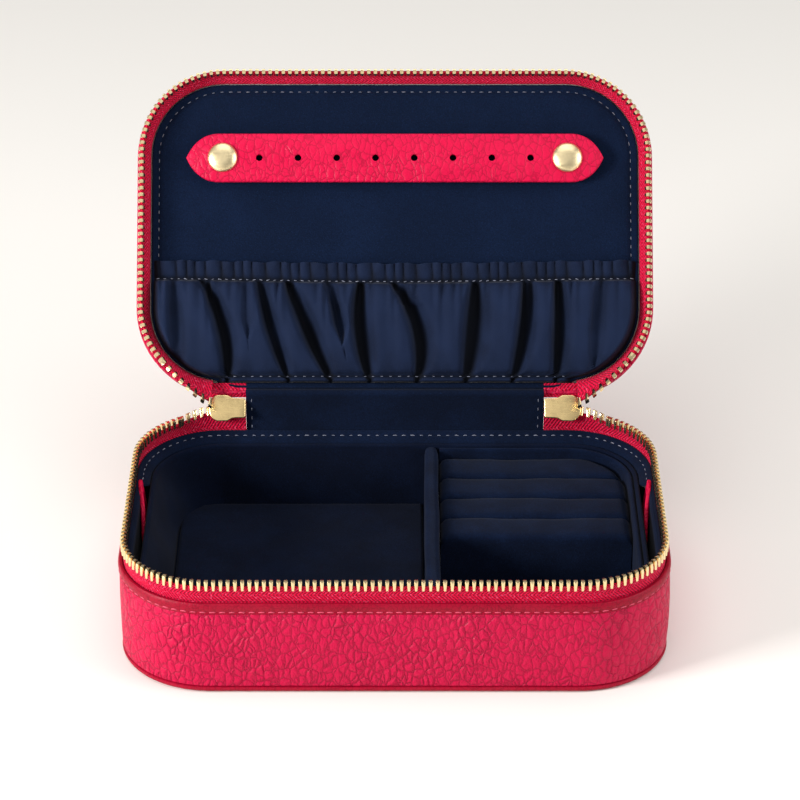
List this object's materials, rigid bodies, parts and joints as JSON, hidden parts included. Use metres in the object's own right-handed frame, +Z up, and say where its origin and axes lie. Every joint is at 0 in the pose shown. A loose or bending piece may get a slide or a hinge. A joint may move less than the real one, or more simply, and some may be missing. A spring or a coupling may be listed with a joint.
{
  "type": "travel jewelry case",
  "caption": "Rounded zip-around leather travel jewelry case, open, with a suede tray, divider, ring rolls, gathered lid pocket and earring strap.",
  "frame": {"origin": "centre of the base's resting face, under the middle of the base", "axes": "+Z up from the resting face; +Y to the back, where the hinge is; +X to the right of a person facing the open case"},
  "size_m": [0.172, 0.179, 0.1384],
  "materials": {
    "leather": "pebbled raspberry leather, semi-matt",
    "zip_tape": "woven raspberry zip tape",
    "brass": "pale gold, satin",
    "board": "grey bookbinding board",
    "foam": "cream foam",
    "suede": "navy microsuede",
    "pocket_satin": "navy gathered satin"
  },
  "bodies": {
    "root": {"base_bottom_leather": "leather", "base_wall_leather": "leather", "base_bottom_board": "board", "base_wall_board": "board", "base_bottom_lining": "suede", "base_wall_lining": "suede", "base_zipper_tape": "zip_tape", "base_zipper_chain": "brass", "hinge_panel_leather": "leather", "hinge_panel_lining": "suede", "side_tab_left": "leather", "side_tab_right": "leather", "tray_wall": "suede", "tray_floor_board": "board", "tray_divider": "suede", "left_floor_pad": "suede", "right_floor_pad": "suede", "right_side_liner": "suede", "ring_roll_bed": "foam", "ring_roll_1": "suede", "ring_roll_2": "suede", "ring_roll_3": "suede", "ring_roll_4": "suede"},
    "lid": {"lid_top_leather": "leather", "lid_wall_leather": "leather", "lid_board": "board", "lid_wall_board": "board", "lid_padding": "foam", "lid_lining": "suede", "lid_zipper_tape": "zip_tape", "lid_zipper_chain": "brass", "lid_pocket": "pocket_satin", "lid_pocket_elastic": "pocket_satin", "snap_stud_left": "brass", "snap_stud_right": "brass"},
    "earring_strap": {"earring_strap": "leather", "snap_cap_left": "brass", "snap_cap_right": "brass"},
    "slider_left": {"slider_left": "brass"},
    "slider_right": {"slider_right": "brass"},
    "pull_left": {"pull_left": "brass"},
    "pull_right": {"pull_right": "brass"}
  },
  "joints": [
    {"name": "lid_hinge", "type": "hinge", "parent": "root", "child": "lid", "pos_m": [0, 0.0545, 0.0454], "axis": [1, 0, 0], "range_deg": [0, 124.5]},
    {"name": "strap_unsnap", "type": "slide", "parent": "lid", "child": "earring_strap", "axis": [0, -0.8241, 0.5664], "range_m": [0, 0.007]},
    {"name": "slider_left_rock", "type": "hinge", "parent": "root", "child": "slider_left", "pos_m": [-0.0557, 0.0557, 0.03915], "axis": [1, 0, 0], "range_deg": [0, 34.5]},
    {"name": "slider_right_rock", "type": "hinge", "parent": "root", "child": "slider_right", "pos_m": [0.0557, 0.0557, 0.03915], "axis": [1, 0, 0], "range_deg": [0, 34.5]},
    {"name": "pull_left_swing", "type": "hinge", "parent": "slider_left", "child": "pull_left", "pos_m": [-0.0557, 0.05694, 0.03787], "axis": [1, 0, 0], "range_deg": [0, 55]},
    {"name": "pull_right_swing", "type": "hinge", "parent": "slider_right", "child": "pull_right", "pos_m": [0.0557, 0.05694, 0.03787], "axis": [1, 0, 0], "range_deg": [0, 55]}
  ],
  "couplings": [
    {"joint": "slider_left_rock", "follows": "lid_hinge", "ratio": 0.27711},
    {"joint": "slider_right_rock", "follows": "lid_hinge", "ratio": 0.27711}
  ]
}
